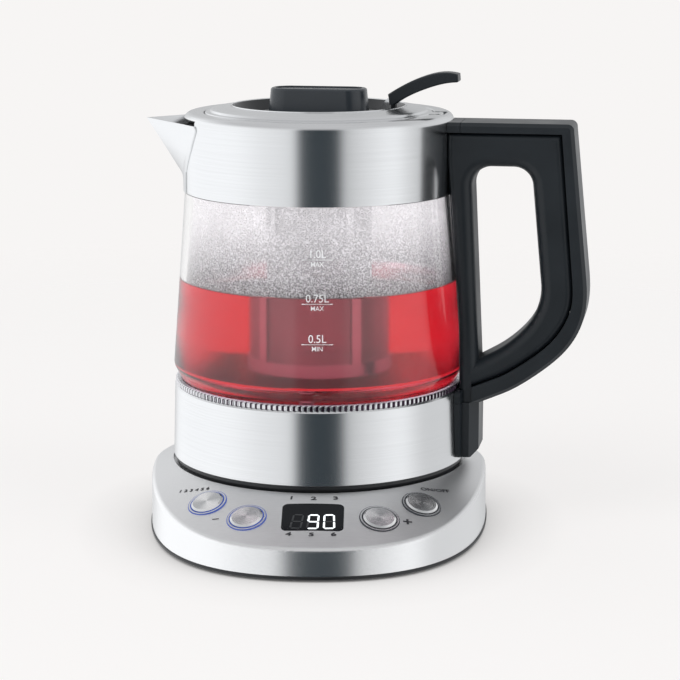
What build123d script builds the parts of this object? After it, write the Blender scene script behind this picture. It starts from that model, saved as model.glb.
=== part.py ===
from build123d import *
import os
from math import atan, cos, degrees, radians, sin, tan

# Glass tea maker on its powered base.  Millimetres, +Z up.  The origin is on the
# table, under the centre of the jug; the control panel faces -Y.  The jug is made
# with its handle along +X and its spout along -X, then turned a little on the base.

os.makedirs("parts", exist_ok=True)

# --- Driving dimensions ----------------------------------------------------------

JUG_TURN = -9.0            # how far the jug stands turned on its base, degrees

# Powered base
BASE_HALF_WIDTH = 80.8
BASE_FRONT = 108.0         # jug axis to the front edge
BASE_BACK = 77.0           # jug axis to the back edge
BASE_WAIST_Y = 8.0         # where the outline is widest
WALL_LEAN = 0.015          # how far the side wall leans in, per millimetre of height
PANEL_SLOPE = 22.2         # fall of the conical top, degrees
CONE_RADIUS = 72.0         # radius at which the cone has the height below
CONE_HEIGHT = 29.2
CREASE_RADIUS = 2.6
SHEET = 1.2                # steel skin of the base
FOOT_DROP = 0.9            # the rubber feet stand out below the plate by this
SHELL_BOTTOM = 2.5
PLATE_FLANGE = 0.5         # the plate's rim stands out beyond the steel by this
PLATE_TOP = 3.6
SEAT_RADIUS = 70.6         # round seat that the jug stands in
SEAT_FLOOR = 28.0
SEAT_OPENING = 62.2

# Control panel, in polar places on the cone: radius, then degrees from the front
INNER_BUTTON = (89.4, 19.4)
OUTER_BUTTON = (84.0, 35.3)
CAP_RADIUS = 7.45
RING_RADIUS = 9.1
RING_BORE = 7.75
BUTTON_TRAVEL = 0.8
DISPLAY_PLACE = 86.4
DISPLAY_WIDTH = 27.6
DISPLAY_LENGTH = 19.2
DISPLAY_CORNER = 2.6

# Jug, from the bottom up
FOOT_BOTTOM = 28.2
BAND_BOTTOM = 32.5
BAND_BOTTOM_RADIUS = 70.2
BAND_TOP = 67.0
BAND_TOP_RADIUS = 69.2
BAND_SHEET = 0.9
TRIM_TOP = 69.6
GLASS_SHOULDER = 76.5
GLASS_TOP_RADIUS = 63.2
GLASS_TAPER = 0.077        # radius gained per millimetre downwards
GLASS_WALL = 2.4
COLLAR_BOTTOM = 158.8
COLLAR_RADIUS = 63.3
COLLAR_SHEET = 0.9
RIM_HEIGHT = 195.6
RIM_SHOULDER = 3.6
MOUTH_RADIUS = 54.0        # bore of the rim that the lid sits in
LEDGE_RADIUS = 50.0
LEDGE_HEIGHT = 187.4
FLOOR_TOP = 61.1           # top of the heater plate, the floor of the jug

# Spout: a sheet with a V outline that lies on the collar and folds out to a keel
SPOUT_SHEET = 0.9
SPOUT_PROUD = 0.6          # the sheet's edge stands out from the collar by this
SPOUT_TOP = 191.2
SPOUT_FOLDS = [            # height, reach of the keel, half width between the folds
    (SPOUT_TOP, 83.6, 39.2),
    (177.6, 74.7, 30.7),
    (168.3, 68.7, 20.5),
    (164.8, 66.4, 18.0),
    (160.8, 66.0, 17.2),
    (COLLAR_BOTTOM + 0.1, 64.5, 16.0),
]
SPOUT_EDGE = [             # half width of the sheet, height
    (41.3, SPOUT_TOP),
    (39.2, 187.1),
    (35.5, 180.7),
    (31.3, 175.1),
    (26.4, 168.6),
    (25.6, COLLAR_BOTTOM + 0.1),
]

# Lid
LID_RADIUS = 53.5
DISH_RADIUS = 40.4
DISH_FLOOR = 194.2
LID_HOLE = 27.8
HINGE_X = 57.0
HINGE_Z = 193.5
PIN_RADIUS = 1.0

# Tea filter
BASKET_RADIUS = 25.8
BASKET_BOTTOM = 77.0
KNOB_LENGTH = 46.8
KNOB_WIDTH = 21.0
KNOB_TOP = 206.6

# Handle
HANDLE_WIDTH = 26.0
HANDLE_TOP = 192.5
GRIP_WIDTH = 24.6
CLEARANCE = 0.15

REACH = 140.0              # beyond every wall of the object


def keep(piece, name, turn=0.0):
    """Labels one finished piece and writes its STEP file."""
    placed = piece.part.rotate(Axis.Z, turn)
    placed.label = name
    export_step(placed, f"parts/{name}.step")


def turned(*points):
    """A solid of revolution about Z from a closed outline of (radius, height) points."""
    with BuildPart() as piece:
        with BuildSketch(Plane.XZ):
            with BuildLine():
                Polyline(*points, close=True)
            make_face()
        revolve(axis=Axis.Z)
    return piece.part


def ring(inner, outer, bottom, top):
    """A plain ring or tube about Z."""
    return turned((inner, bottom), (outer, bottom), (outer, top), (inner, top))


# --- Powered base ------------------------------------------------------------------


def cone_height(radius):
    """Height of the base's conical top at a distance from the jug axis."""
    return CONE_HEIGHT - tan(radians(PANEL_SLOPE)) * (radius - CONE_RADIUS)


def base_outline(inset=0.0):
    """Plan of the base: full round front corners and a nearly round back."""
    circle_pull = 0.5523
    half = BASE_HALF_WIDTH - inset
    front = BASE_FRONT - inset
    back = BASE_BACK - inset
    with BuildSketch() as outline:
        with BuildLine():
            Bezier(
                (0, -front),
                (0.76 * half, -front),
                (half, BASE_WAIST_Y - 0.58 * (front + BASE_WAIST_Y)),
                (half, BASE_WAIST_Y),
            )
            Bezier(
                (half, BASE_WAIST_Y),
                (half, BASE_WAIST_Y + circle_pull * (back - BASE_WAIST_Y)),
                (circle_pull * half, back),
                (0, back),
            )
            mirror(about=Plane.YZ)
        make_face()
    return outline.sketch


def base_block(inset, bottom, drop):
    """The base as a solid block: leaning walls under the cone, lowered by drop."""
    block_top = 40.0
    with BuildPart() as block:
        for height in (bottom, block_top):
            with BuildSketch(Plane.XY.offset(height)):
                add(base_outline(inset + WALL_LEAN * (height - PLATE_TOP)))
        loft()
        with BuildSketch(Plane.XZ):
            with BuildLine():
                Polyline(
                    (0, SEAT_FLOOR - drop),
                    (SEAT_RADIUS + drop, SEAT_FLOOR - drop),
                    (SEAT_RADIUS + drop, cone_height(SEAT_RADIUS + drop) - drop),
                    (REACH, cone_height(REACH) - drop),
                    (REACH, 2 * block_top),
                    (0, 2 * block_top),
                    close=True,
                )
            make_face()
        revolve(axis=Axis.Z, mode=Mode.SUBTRACT)
    return block.part


def panel_plane(place, lift=0.0):
    """Plane lying on the cone at (radius, degrees from the front)."""
    radius, angle = place
    across = radians(angle)
    slope = radians(PANEL_SLOPE)
    normal = Vector(sin(slope) * sin(across), -sin(slope) * cos(across), cos(slope))
    origin = Vector(radius * sin(across), -radius * cos(across), cone_height(radius))
    return Plane(origin + normal * lift, (cos(across), sin(across), 0), normal)


BUTTONS = {
    "program": (OUTER_BUTTON[0], -OUTER_BUTTON[1]),
    "minus": (INNER_BUTTON[0], -INNER_BUTTON[1]),
    "plus": INNER_BUTTON,
    "power": OUTER_BUTTON,
}
POSTS = [(38.0, 40.0), (42.0, -36.0), (-38.0, 40.0), (-42.0, -36.0)]
FEET = [(0.0, 0.0), (58.0, 34.0), (50.0, -72.0), (-58.0, 34.0), (-50.0, -72.0)]
GLAND_HEIGHT = 11.0
GLAND_RADIUS = 4.6


def make_base_shell():
    outer = base_block(0.0, SHELL_BOTTOM, 0.0)
    hollow = base_block(SHEET, SHELL_BOTTOM, SHEET)
    with BuildPart() as shell:
        add(outer)
        crease = [
            edge
            for edge in shell.edges().filter_by(GeomType.BSPLINE)
            if edge.length > 60 and edge.center().Z > PLATE_TOP + 5
        ]
        fillet(crease, CREASE_RADIUS)
        add(hollow, mode=Mode.SUBTRACT)
        with BuildSketch(Plane.XY.offset(SEAT_FLOOR - 4)):
            Circle(SEAT_OPENING)
        extrude(amount=8, mode=Mode.SUBTRACT)
        for place in BUTTONS.values():
            with BuildSketch(panel_plane(place, -5)):
                Circle(RING_RADIUS + 0.05)
            extrude(amount=10, mode=Mode.SUBTRACT)
        with BuildSketch(panel_plane((DISPLAY_PLACE, 0), -5)):
            RectangleRounded(DISPLAY_WIDTH + 0.1, DISPLAY_LENGTH + 0.1, DISPLAY_CORNER)
        extrude(amount=10, mode=Mode.SUBTRACT)
        with BuildSketch(Plane.XZ.offset(-BASE_BACK - 5)):
            with Locations((0, GLAND_HEIGHT)):
                Circle(GLAND_RADIUS)
        extrude(amount=15, mode=Mode.SUBTRACT)
    keep(shell, "base_shell")


def make_base_plate():
    lip = 1.4
    with BuildPart() as plate:
        with BuildSketch(Plane.XY.offset(FOOT_DROP)):
            add(base_outline(-PLATE_FLANGE))
        extrude(amount=SHELL_BOTTOM - FOOT_DROP - 0.05)
        fillet(plate.edges().group_by(Axis.Z)[0], 0.6)
        fillet(plate.edges().group_by(Axis.Z)[-1], 0.3)
        with BuildSketch(Plane.XY.offset(FOOT_DROP + 0.8)):
            add(base_outline(SHEET + 0.6))
        extrude(amount=PLATE_TOP - FOOT_DROP - 0.85)
        with BuildSketch(Plane.XY.offset(PLATE_TOP - 0.05)):
            add(base_outline(SHEET + 0.6))
            add(base_outline(SHEET + 0.6 + lip), mode=Mode.SUBTRACT)
        extrude(amount=2.4)
        with BuildSketch(Plane.XY.offset(PLATE_TOP - 0.05)):
            with Locations(*[(x, y) for x in (-40, 40) for y in (-90, -54)]):
                Circle(3.0)
        extrude(amount=3.0)
        with BuildSketch(Plane.XY):
            with Locations(*FEET):
                Circle(7.05)
        extrude(amount=FOOT_DROP + 1.1, mode=Mode.SUBTRACT)
        with Locations(*[(x, y, FOOT_DROP) for x, y in POSTS]):
            CounterBoreHole(1.7, 3.1, 1.2, depth=4)
        with BuildSketch(Plane.XY.offset(FOOT_DROP)):
            with Locations(*POSTS):
                Circle(3.1)
        extrude(amount=1.2, mode=Mode.SUBTRACT)
    keep(plate, "base_plate")


def make_base_chassis():
    under = SEAT_FLOOR - SHEET - 0.05
    with BuildPart() as chassis:
        add(
            turned(
                (22.5, under - 2.6),
                (67.0, under - 2.6),
                (67.0, under),
                (SEAT_OPENING - 0.2, under),
                (SEAT_OPENING - 0.2, SEAT_FLOOR - 0.4),
                (22.5, SEAT_FLOOR - 0.4),
            )
        )
        with BuildSketch(Plane.XY.offset(PLATE_TOP)):
            with Locations(*POSTS):
                Circle(4.2)
        extrude(amount=under - 1.0 - PLATE_TOP)
        with BuildSketch(Plane.XY.offset(PLATE_TOP)):
            with Locations(*POSTS):
                Circle(1.45)
        extrude(amount=11.0, mode=Mode.SUBTRACT)
    keep(chassis, "base_chassis")


def make_power_socket():
    with BuildPart() as socket:
        add(
            turned(
                (4.6, 24.0),
                (4.6, 34.5),
                (10.4, 34.5),
                (10.4, 26.0),
                (13.6, 26.0),
                (13.6, 34.5),
                (19.5, 34.5),
                (19.5, SEAT_FLOOR - 0.4),
                (22.3, SEAT_FLOOR - 0.4),
                (22.3, 19.0),
                (0.0, 19.0),
                (0.0, 24.0),
            )
        )
    keep(socket, "power_socket")


def make_socket_contacts():
    with BuildPart() as contacts:
        add(ring(13.1, 13.55, 26.05, 32.0))
        add(ring(4.2, 4.55, 24.05, 31.0))
    keep(contacts, "socket_contacts")


def make_panel_frame():
    """Moulded carrier that follows the cone under the buttons."""
    depth = 7.0 / cos(radians(PANEL_SLOPE))
    thick = 1.8
    half_arc = 43.0
    east = sin(radians(half_arc))
    south = cos(radians(half_arc))
    start = Plane(origin=(0, 0, 0), x_dir=(-east, -south, 0), z_dir=(-south, east, 0))
    with BuildPart() as frame:
        with BuildSketch(start):
            with BuildLine():
                Polyline(
                    (77, cone_height(77) - depth),
                    (94, cone_height(94) - depth),
                    (94, cone_height(94) - depth - thick),
                    (77, cone_height(77) - depth - thick),
                    close=True,
                )
            make_face()
        revolve(axis=Axis.Z, revolution_arc=2 * half_arc)
    keep(frame, "panel_frame")


def make_button_switches():
    with BuildPart() as switches:
        for place in BUTTONS.values():
            with BuildSketch(panel_plane(place, -6.9)):
                Rectangle(6.2, 6.2)
            extrude(amount=2.3)
            with BuildSketch(panel_plane(place, -4.6)):
                Circle(1.75)
            extrude(amount=0.6)
    keep(switches, "button_switches")


def make_light_ring(name, place):
    flange_top = -1.5
    with BuildPart() as light:
        with BuildSketch(panel_plane(place, -3.4)):
            Circle(RING_RADIUS + 1.1)
            Circle(RING_BORE, mode=Mode.SUBTRACT)
        extrude(amount=3.4 + flange_top)
        with BuildSketch(panel_plane(place, flange_top)):
            Circle(RING_RADIUS)
            Circle(RING_BORE, mode=Mode.SUBTRACT)
        extrude(amount=0.35 - flange_top)
        rim = light.faces().filter_by(GeomType.PLANE).sort_by(
            lambda face: (face.center() - panel_plane(place).origin).dot(panel_plane(place).z_dir)
        )[-1]
        fillet(rim.outer_wire().edges(), 0.25)
    keep(light, f"{name}_light_ring")


def make_button(name, place):
    with BuildPart() as button:
        with BuildSketch(panel_plane(place, -2.0)):
            Circle(CAP_RADIUS)
        extrude(amount=3.3)
        top = button.faces().sort_by(
            lambda face: (face.center() - panel_plane(place).origin).dot(panel_plane(place).z_dir)
        )[-1]
        chamfer(top.edges(), 0.7, 0.9)
        with BuildSketch(panel_plane(place, -3.1)):
            Circle(2.4)
        extrude(amount=1.1)
    keep(button, f"{name}_button")


def make_display():
    with BuildPart() as window:
        with BuildSketch(panel_plane((DISPLAY_PLACE, 0), -5)):
            RectangleRounded(DISPLAY_WIDTH, DISPLAY_LENGTH, DISPLAY_CORNER)
        extrude(amount=10)
        add(
            turned(
                (60, cone_height(60) - 1.9),
                (REACH, cone_height(REACH) - 1.9),
                (REACH, cone_height(REACH) - 0.05),
                (60, cone_height(60) - 0.05),
            ),
            mode=Mode.INTERSECT,
        )
    keep(window, "display_window")
    with BuildPart() as module:
        with BuildSketch(panel_plane((DISPLAY_PLACE, 0), -6.4)):
            Rectangle(25.0, 16.5)
        extrude(amount=3.8)
    keep(module, "display_module")


def make_electronics():
    with BuildPart() as board:
        with BuildSketch(Plane.XY.offset(6.6)):
            with Locations((0, -72)):
                RectangleRounded(92, 42, 2)
        extrude(amount=1.6)
    keep(board, "control_board")
    with BuildPart() as relay:
        with BuildSketch(Plane.XY.offset(8.2)):
            with Locations((-12, -59)):
                Rectangle(19, 12)
        extrude(amount=13)
        with BuildSketch(Plane.XY.offset(8.2)):
            with Locations((14, -59)):
                Circle(6.0)
        extrude(amount=12)
    keep(relay, "power_relay")


def make_base_hardware():
    with BuildPart() as feet:
        with BuildSketch(Plane.XY):
            with Locations(*FEET):
                Circle(7.0)
        extrude(amount=FOOT_DROP + 1.1)
        fillet(feet.edges().group_by(Axis.Z)[0], 0.4)
    keep(feet, "base_feet")
    with BuildPart() as screws:
        with BuildSketch(Plane.XY.offset(FOOT_DROP + 0.1)):
            with Locations(*POSTS):
                Circle(2.9)
        extrude(amount=1.05)
        with BuildSketch(Plane.XY.offset(FOOT_DROP + 0.1)):
            with Locations(*POSTS):
                Circle(1.4)
        extrude(amount=12.0)
    keep(screws, "base_screws")
    with BuildPart() as gland:
        with BuildSketch(Plane.XZ.offset(-(BASE_BACK - 6))):
            with Locations((0, GLAND_HEIGHT)):
                Circle(GLAND_RADIUS - 0.05)
                Circle(3.2, mode=Mode.SUBTRACT)
        extrude(amount=-6.0)
        with BuildSketch(Plane.XZ.offset(-(BASE_BACK - 6))):
            with Locations((0, GLAND_HEIGHT)):
                Circle(GLAND_RADIUS + 1.6)
                Circle(3.2, mode=Mode.SUBTRACT)
        extrude(amount=-2.4)
    keep(gland, "cord_gland")


# --- Jug -----------------------------------------------------------------------------


def glass_radius(height):
    """Outer radius of the tapered glass."""
    return GLASS_TOP_RADIUS + GLASS_TAPER * (COLLAR_BOTTOM - height)


def make_jug_plug():
    """The jug's half of the round connector.  It has the same shape all round."""
    with BuildPart() as plug:
        add(
            turned(
                (0.0, 25.5),
                (3.7, 25.5),
                (3.7, 37.5),
                (11.3, 37.5),
                (11.3, 28.4),
                (12.6, 28.4),
                (12.6, 37.5),
                (20.2, 37.5),
                (20.2, 29.0),
                (22.4, 29.0),
                (22.4, 40.5),
                (0.0, 40.5),
            )
        )
    keep(plug, "jug_plug", JUG_TURN)


def make_jug_foot():
    inner_wall = BAND_BOTTOM_RADIUS - BAND_SHEET - 0.2
    with BuildPart() as foot:
        add(
            turned(
                (22.9, 30.6),
                (64.6, 30.6),
                (65.4, FOOT_BOTTOM),
                (68.5, FOOT_BOTTOM),
                (68.8, 30.8),
                (69.5, 31.0),
                (69.5, BAND_BOTTOM - 0.1),
                (inner_wall - 1.1, BAND_BOTTOM - 0.1),
                (inner_wall - 1.1, 37.0),
                (inner_wall - 3.0, 37.0),
                (inner_wall - 3.0, 33.0),
                (25.2, 33.0),
                (25.2, 43.5),
                (22.9, 43.5),
            )
        )
    keep(foot, "jug_foot", JUG_TURN)


def make_lower_band():
    lip = 2.0
    with BuildPart() as band:
        add(
            turned(
                (BAND_BOTTOM_RADIUS - lip, BAND_BOTTOM),
                (BAND_BOTTOM_RADIUS - 0.4, BAND_BOTTOM),
                (BAND_BOTTOM_RADIUS, BAND_BOTTOM + 0.4),
                (BAND_TOP_RADIUS, BAND_TOP - 0.7),
                (BAND_TOP_RADIUS - 0.7, BAND_TOP),
                (66.4, BAND_TOP),
                (66.4, BAND_TOP - BAND_SHEET),
                (BAND_TOP_RADIUS - BAND_SHEET, BAND_TOP - BAND_SHEET - 0.4),
                (BAND_BOTTOM_RADIUS - BAND_SHEET, BAND_BOTTOM + BAND_SHEET),
                (BAND_BOTTOM_RADIUS - lip, BAND_BOTTOM + BAND_SHEET),
            )
        )
    keep(band, "lower_band", JUG_TURN)


def make_trim_ring():
    with BuildPart() as trim:
        add(ring(66.3, 68.3, BAND_TOP + 0.05, TRIM_TOP))
        fillet(trim.edges().group_by(Axis.Z)[-1], 0.4)
    keep(trim, "toothed_trim_ring", JUG_TURN)


def make_glass():
    neck = 66.1
    with BuildPart() as glass:
        with BuildSketch(Plane.XZ):
            with BuildLine():
                Polyline(
                    (neck, 63.0),
                    (neck, TRIM_TOP + 0.3),
                    (glass_radius(GLASS_SHOULDER), GLASS_SHOULDER),
                    (glass_radius(COLLAR_BOTTOM), COLLAR_BOTTOM - 0.3),
                    (60.9, COLLAR_BOTTOM - 0.1),
                    (60.9, 166.0),
                    (60.9 - GLASS_WALL, 166.0),
                    (glass_radius(COLLAR_BOTTOM) - GLASS_WALL - 1.0, COLLAR_BOTTOM - 8.0),
                    (glass_radius(GLASS_SHOULDER) - GLASS_WALL, GLASS_SHOULDER),
                    (neck - GLASS_WALL, TRIM_TOP),
                    (neck - GLASS_WALL, 63.0),
                    close=True,
                )
            section = make_face()
            shoulder = section.vertices().sort_by_distance((glass_radius(GLASS_SHOULDER), GLASS_SHOULDER))[0]
            fillet(shoulder, 5.0)
        revolve(axis=Axis.Z)
    keep(glass, "glass_jug", JUG_TURN)


def make_jug_floor():
    with BuildPart() as gasket:
        add(
            turned(
                (62.0, 61.15),
                (66.1, 61.15),
                (66.1, 62.95),
                (63.6, 62.95),
                (63.6, 66.0),
                (62.0, 66.0),
            )
        )
    keep(gasket, "floor_gasket", JUG_TURN)
    sensor_place = (0, -26)
    with BuildPart() as plate:
        add(
            turned(
                (0.0, FLOOR_TOP - 1.2),
                (66.0, FLOOR_TOP - 1.2),
                (66.0, FLOOR_TOP),
                (61.9, FLOOR_TOP),
                (61.9, 66.0),
                (60.9, 66.0),
                (60.9, FLOOR_TOP),
                (0.0, FLOOR_TOP),
            )
        )
        with BuildSketch(Plane.XY.offset(FLOOR_TOP - 4)):
            with Locations(sensor_place):
                Circle(3.1)
        extrude(amount=8, mode=Mode.SUBTRACT)
    keep(plate, "heater_plate", JUG_TURN)
    with BuildPart() as spreader:
        with BuildSketch(Plane.XY.offset(FLOOR_TOP - 5.25)):
            Circle(50)
            with Locations(sensor_place):
                Circle(3.1, mode=Mode.SUBTRACT)
        extrude(amount=4.0)
    keep(spreader, "heat_spreader", JUG_TURN)
    element_height = FLOOR_TOP - 5.3 - 4.1
    coil_radius = 38.0
    with BuildPart() as element:
        with BuildLine() as path:
            CenterArc((0, 0, element_height), coil_radius, 120, 300)
        with BuildSketch(Plane(origin=path.line @ 0, z_dir=path.line % 0)):
            Circle(4.0)
        sweep(path=path.line)
        for end in (path.line @ 0.004, path.line @ 0.996):
            with BuildSketch(Plane.XY.offset(element_height)):
                with Locations((end.X, end.Y)):
                    Circle(1.6)
            extrude(amount=-9.0)
    keep(element, "heating_element", JUG_TURN)
    with BuildPart() as sensor:
        with BuildSketch(Plane.XY.offset(54.0)):
            with Locations(sensor_place):
                Circle(3.0)
        extrude(amount=15.5)
        fillet(sensor.edges().group_by(Axis.Z)[-1], 1.4)
        with BuildSketch(Plane.XY.offset(FLOOR_TOP + 0.05)):
            with Locations(sensor_place):
                Circle(5.2)
        extrude(amount=1.2)
    keep(sensor, "temperature_sensor", JUG_TURN)
    with BuildPart() as cutout:
        with BuildSketch(Plane.XY.offset(45.0)):
            with Locations((0, 4)):
                RectangleRounded(40, 24, 3)
        extrude(amount=FLOOR_TOP - 5.3 - 45.0)
    keep(cutout, "safety_cutout", JUG_TURN)


def spout_plan(reach, half, inset=0.0):
    """Plan of the folded spout at one height, from fold to keel to fold."""
    outer = COLLAR_RADIUS + SPOUT_PROUD
    fold_x = -((outer**2 - half**2) ** 0.5)
    with BuildSketch() as plan:
        with BuildLine():
            Polyline(
                (0, half - inset),
                (fold_x, half - inset),
                (-reach + 1.3 * inset, 0),
                (fold_x, -half + inset),
                (0, -half + inset),
                close=True,
            )
        make_face()
    return plan.sketch


def spout_block():
    """The folded spout as a solid, down to the foot of the keel."""
    with BuildPart() as block:
        for height, reach, half in SPOUT_FOLDS:
            with BuildSketch(Plane.XY.offset(height)):
                add(spout_plan(reach, half))
        loft(ruled=True)
    return block.part


def spout_channel(inset=SPOUT_SHEET):
    """The room that the tea runs through, open at the top."""
    with BuildPart() as channel:
        for height, reach, half in SPOUT_FOLDS[:3]:
            with BuildSketch(Plane.XY.offset(height)):
                add(spout_plan(reach, half, inset))
        loft(ruled=True)
        with BuildSketch(Plane.XY.offset(SPOUT_TOP)):
            add(spout_plan(*SPOUT_FOLDS[0][1:], inset))
        extrude(amount=2.2)
    return channel.part


def make_collar():
    top = RIM_HEIGHT
    bend = (COLLAR_RADIUS - RIM_SHOULDER, top - RIM_SHOULDER)
    with BuildPart() as collar:
        with BuildSketch(Plane.XZ):
            with BuildLine():
                Polyline(
                    (COLLAR_RADIUS - COLLAR_SHEET, top - RIM_SHOULDER),
                    (COLLAR_RADIUS - COLLAR_SHEET, COLLAR_BOTTOM),
                    (COLLAR_RADIUS, COLLAR_BOTTOM),
                    (COLLAR_RADIUS, top - RIM_SHOULDER),
                )
                CenterArc(bend, RIM_SHOULDER, 0, 90)
                Polyline(
                    (bend[0], top),
                    (MOUTH_RADIUS + 0.5, top),
                    (MOUTH_RADIUS, top - 0.4),
                    (MOUTH_RADIUS, top - COLLAR_SHEET),
                    (bend[0], top - COLLAR_SHEET),
                )
                CenterArc(bend, RIM_SHOULDER - COLLAR_SHEET, 0, 90)
            make_face()
        revolve(axis=Axis.Z)
        add(spout_channel(), mode=Mode.SUBTRACT)
        with BuildSketch(Plane.XY.offset(HINGE_Z - 3.2)):
            with Locations((HINGE_X - 0.6, 0)):
                Rectangle(7.4, 15.6)
        extrude(amount=10, mode=Mode.SUBTRACT)
    keep(collar, "upper_collar", JUG_TURN)
    with BuildPart() as mouth:
        add(
            turned(
                (MOUTH_RADIUS, top - COLLAR_SHEET - 0.2),
                (MOUTH_RADIUS, LEDGE_HEIGHT - COLLAR_SHEET),
                (LEDGE_RADIUS, LEDGE_HEIGHT - COLLAR_SHEET),
                (LEDGE_RADIUS, LEDGE_HEIGHT - 2 * COLLAR_SHEET),
                (MOUTH_RADIUS + COLLAR_SHEET, LEDGE_HEIGHT - 2 * COLLAR_SHEET),
                (MOUTH_RADIUS + COLLAR_SHEET, top - COLLAR_SHEET - 0.2),
            )
        )
        add(spout_channel(SPOUT_SHEET + 0.4), mode=Mode.SUBTRACT)
        with BuildSketch(Plane.XY.offset(HINGE_Z - 3.3)):
            with Locations((HINGE_X - 0.6, 0)):
                Rectangle(7.8, 16.0)
        extrude(amount=10, mode=Mode.SUBTRACT)
    keep(mouth, "mouth_seat", JUG_TURN)
    with BuildPart() as gasket:
        add(ring(60.95, COLLAR_RADIUS - COLLAR_SHEET - 0.05, COLLAR_BOTTOM + 0.6, 165.6))
    keep(gasket, "collar_gasket", JUG_TURN)


def make_spout():
    outside = COLLAR_RADIUS + 0.05
    with BuildPart() as sheet:
        with BuildSketch(Plane.YZ.offset(-REACH)) as outline:
            with BuildLine():
                Polyline(*SPOUT_EDGE, *[(-y, z) for y, z in reversed(SPOUT_EDGE)], close=True)
            make_face()
            fillet(outline.vertices().group_by(Axis.Y)[-1], 1.8)
        extrude(amount=REACH - 20)
        add(
            ring(outside, COLLAR_RADIUS + SPOUT_PROUD, COLLAR_BOTTOM - 5, RIM_HEIGHT),
            mode=Mode.INTERSECT,
        )
    with BuildPart() as spout:
        add(spout_block())
        with BuildSketch(Plane.XY.offset(COLLAR_BOTTOM - 5)):
            Circle(outside)
        extrude(amount=60, mode=Mode.SUBTRACT)
        add(sheet.part)
        add(spout_channel(), mode=Mode.SUBTRACT)
    keep(spout, "pouring_spout", JUG_TURN)


def make_hinge():
    with BuildPart() as bracket:
        with BuildSketch(Plane.XY.offset(HINGE_Z - 4.4)):
            with Locations((HINGE_X + 0.75, 0)):
                Rectangle(5.1, 22.0)
        extrude(amount=0.9)
        with BuildSketch(Plane.XY.offset(HINGE_Z - 3.5)):
            with Locations((HINGE_X - 0.1, -9.4), (HINGE_X - 0.1, 9.4)):
                Rectangle(3.9, 2.8)
        extrude(amount=4.2)
        with BuildSketch(Plane.XZ.offset(-15)):
            with Locations((HINGE_X, HINGE_Z)):
                Circle(PIN_RADIUS + 0.02)
        extrude(amount=30, mode=Mode.SUBTRACT)
    keep(bracket, "hinge_bracket", JUG_TURN)
    with BuildPart() as pin:
        with BuildSketch(Plane.XZ.offset(-10.8)):
            with Locations((HINGE_X, HINGE_Z)):
                Circle(PIN_RADIUS)
        extrude(amount=21.6)
    keep(pin, "hinge_pin", JUG_TURN)


# --- Handle ----------------------------------------------------------------------------

STRAP_FOOT_X = 75.0
ARM_FOOT_HEIGHT = 61.4
GRIP_ROUNDING = 5.0        # towards the fingers
EDGE_ROUNDING = 3.1        # towards the frame and the jug
STRAP_TOUCH = 6.0          # half width over which the strap meets the jug
WING_HALF = 17.0           # half width of the handle's foot on the band
WING_THICK = 1.8
COVER_BOTTOM = 34.8
HANDLE_SCREWS = [(72.6, -6.0), (72.6, 6.0)]


def jug_body():
    """The jug's outside, a little oversize, for cutting the pieces that hug it."""
    gap = 0.12
    return turned(
        (0, 20),
        (BAND_BOTTOM_RADIUS + gap, 20),
        (BAND_BOTTOM_RADIUS + gap, BAND_BOTTOM),
        (BAND_TOP_RADIUS + gap, BAND_TOP),
        (glass_radius(GLASS_SHOULDER) + gap, GLASS_SHOULDER - 3),
        (glass_radius(GLASS_SHOULDER) + gap, GLASS_SHOULDER),
        (COLLAR_RADIUS + gap, COLLAR_BOTTOM),
        (COLLAR_RADIUS + gap, RIM_HEIGHT + 5),
        (0, RIM_HEIGHT + 5),
    )


def outer_face():
    """Side view of the whole handle, filled."""
    with BuildSketch() as face:
        with BuildLine():
            Polyline((STRAP_FOOT_X - 25, ARM_FOOT_HEIGHT), (STRAP_FOOT_X - 25, HANDLE_TOP), (117.3, HANDLE_TOP))
            TangentArc((117.3, HANDLE_TOP), (120.3, 189.3), tangent=(1, 0))
            Line((120.3, 189.3), (126.9, 126.0))
            Spline(
                (126.9, 126.0),
                (127.8, 114.5),
                (126.4, 102.3),
                (120.8, 90.4),
                (110.4, 79.6),
                (96.8, 69.8),
                (78.8, ARM_FOOT_HEIGHT),
                tangents=[(0.104, -1), (-1, -0.42)],
            )
            Line((78.8, ARM_FOOT_HEIGHT), (STRAP_FOOT_X - 25, ARM_FOOT_HEIGHT))
        make_face()
    return face.sketch


def groove_face(left, grow=0.0):
    """Side view of what lies inside the outer frame, made a little larger by grow.

    left is the list of points that bounds it towards the jug, from the top down."""
    foot = STRAP_FOOT_X - CLEARANCE + grow
    with BuildSketch() as face:
        with BuildLine():
            Polyline((left[0][0], 187.8 + grow), (114.8 + grow, 187.8 + grow), (120.6 + grow, 124.0))
            Spline(
                (120.6 + grow, 124.0),
                (120.5 + grow, 107.4),
                (115.8 + 0.9 * grow, 96.8 - 0.5 * grow),
                (105.8 + 0.7 * grow, 86.0 - 0.7 * grow),
                (94.0 + 0.5 * grow, 77.6 - 0.9 * grow),
                (foot, 68.8 - grow),
                tangents=[(0.09, -1), (-1, -0.4)],
            )
            Polyline((foot, 68.8 - grow), (foot, ARM_FOOT_HEIGHT), (left[-1][0], ARM_FOOT_HEIGHT))
            if len(left) > 2:
                Spline((left[-1][0], ARM_FOOT_HEIGHT), *reversed(left[1:-1]), (left[0][0], 187.8 + grow))
            else:
                Line((left[-1][0], ARM_FOOT_HEIGHT), (left[0][0], 187.8 + grow))
        make_face()
    return face.sketch


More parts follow.
